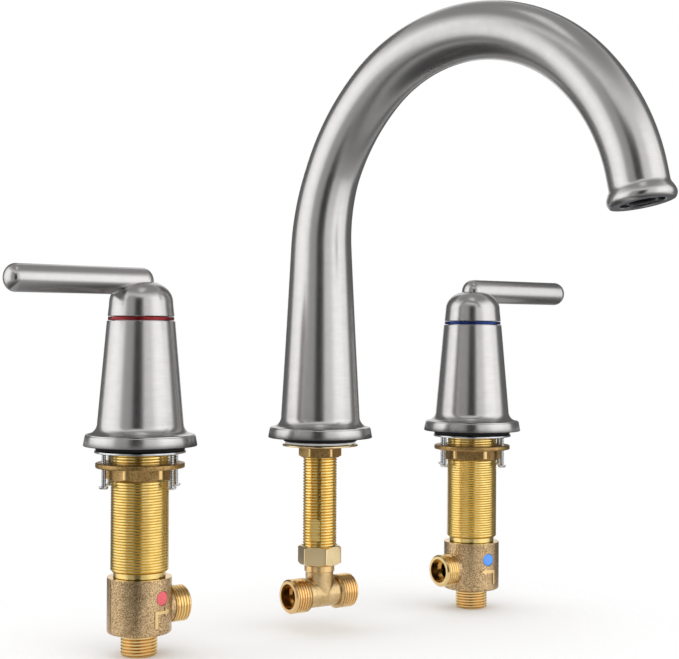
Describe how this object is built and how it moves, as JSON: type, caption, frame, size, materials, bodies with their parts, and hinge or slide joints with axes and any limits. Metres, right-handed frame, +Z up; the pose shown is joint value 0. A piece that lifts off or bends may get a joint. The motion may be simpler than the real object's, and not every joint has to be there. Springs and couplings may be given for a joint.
{
  "type": "roman tub faucet",
  "caption": "Deck-mounted roman tub faucet: high gooseneck spout between a hot and a cold quarter-turn lever valve, with its valve bodies, nuts and tee below the deck.",
  "frame": {"origin": "centre of the middle hole, the spout's, on top of the deck, where the spout's flange rests", "axes": "+Z up out of the deck, +X along the row of holes from the hot valve to the cold valve, -Y towards the bather"},
  "size_m": [0.418, 0.245, 0.3789],
  "materials": {
    "brushed_nickel": "brushed nickel plate on brass",
    "machined_brass": "bright turned brass",
    "cast_brass": "raw sand-cast brass",
    "forged_brass": "forged brass, part machined",
    "plated_steel": "bright zinc plate on steel",
    "black_rubber": "black rubber",
    "white_nylon": "white nylon",
    "black_plastic": "black moulded plastic",
    "white_ceramic": "lapped alumina ceramic",
    "red_enamel": "red hot-water marking",
    "blue_enamel": "blue cold-water marking"
  },
  "bodies": {
    "faucet": {"hot_escutcheon": "brushed_nickel", "hot_indicator_ring": "red_enamel", "hot_fixed_disc": "white_ceramic", "hot_seat_seal": "black_rubber", "hot_cartridge_bonnet": "forged_brass", "hot_inner_riser": "machined_brass", "hot_shank": "machined_brass", "hot_shank_collar": "forged_brass", "hot_deck_gasket": "black_rubber", "hot_clamp_washer": "plated_steel", "hot_mounting_nut": "forged_brass", "hot_jack_screw_1": "plated_steel", "hot_jack_screw_2": "plated_steel", "hot_jack_screw_3": "plated_steel", "hot_jack_screw_4": "plated_steel", "hot_valve_body": "cast_brass", "hot_colour_dot": "red_enamel", "cold_escutcheon": "brushed_nickel", "cold_indicator_ring": "blue_enamel", "cold_fixed_disc": "white_ceramic", "cold_seat_seal": "black_rubber", "cold_cartridge_bonnet": "forged_brass", "cold_inner_riser": "machined_brass", "cold_shank": "machined_brass", "cold_shank_collar": "forged_brass", "cold_deck_gasket": "black_rubber", "cold_clamp_washer": "plated_steel", "cold_mounting_nut": "forged_brass", "cold_jack_screw_1": "plated_steel", "cold_jack_screw_2": "plated_steel", "cold_jack_screw_3": "plated_steel", "cold_jack_screw_4": "plated_steel", "cold_valve_body": "cast_brass", "cold_colour_dot": "blue_enamel", "spout": "brushed_nickel", "spout_base": "forged_brass", "spout_shank": "machined_brass", "spout_gasket": "black_rubber", "spout_spacer": "white_nylon", "spout_clamp_washer": "forged_brass", "spout_nut": "forged_brass", "aerator_housing": "black_plastic", "aerator_core": "black_plastic", "aerator_seal": "black_rubber", "union_nut": "forged_brass", "union_gasket": "black_rubber", "tee": "forged_brass"},
    "hot_handle": {"hot_handle_cap": "brushed_nickel", "hot_lever": "brushed_nickel", "hot_lever_screw": "plated_steel", "hot_grub_screw": "plated_steel", "hot_stem": "machined_brass", "hot_moving_disc": "white_ceramic"},
    "cold_handle": {"cold_handle_cap": "brushed_nickel", "cold_lever": "brushed_nickel", "cold_lever_screw": "plated_steel", "cold_grub_screw": "plated_steel", "cold_stem": "machined_brass", "cold_moving_disc": "white_ceramic"}
  },
  "joints": [
    {"name": "hot_lever_turn", "type": "hinge", "parent": "faucet", "child": "hot_handle", "pos_m": [-0.126, 0, 0.0741], "axis": [0, 0, 1], "range_deg": [0, 90]},
    {"name": "cold_lever_turn", "type": "hinge", "parent": "faucet", "child": "cold_handle", "pos_m": [0.126, 0, 0.0741], "axis": [0, 0, 1], "range_deg": [-90, 0]}
  ]
}
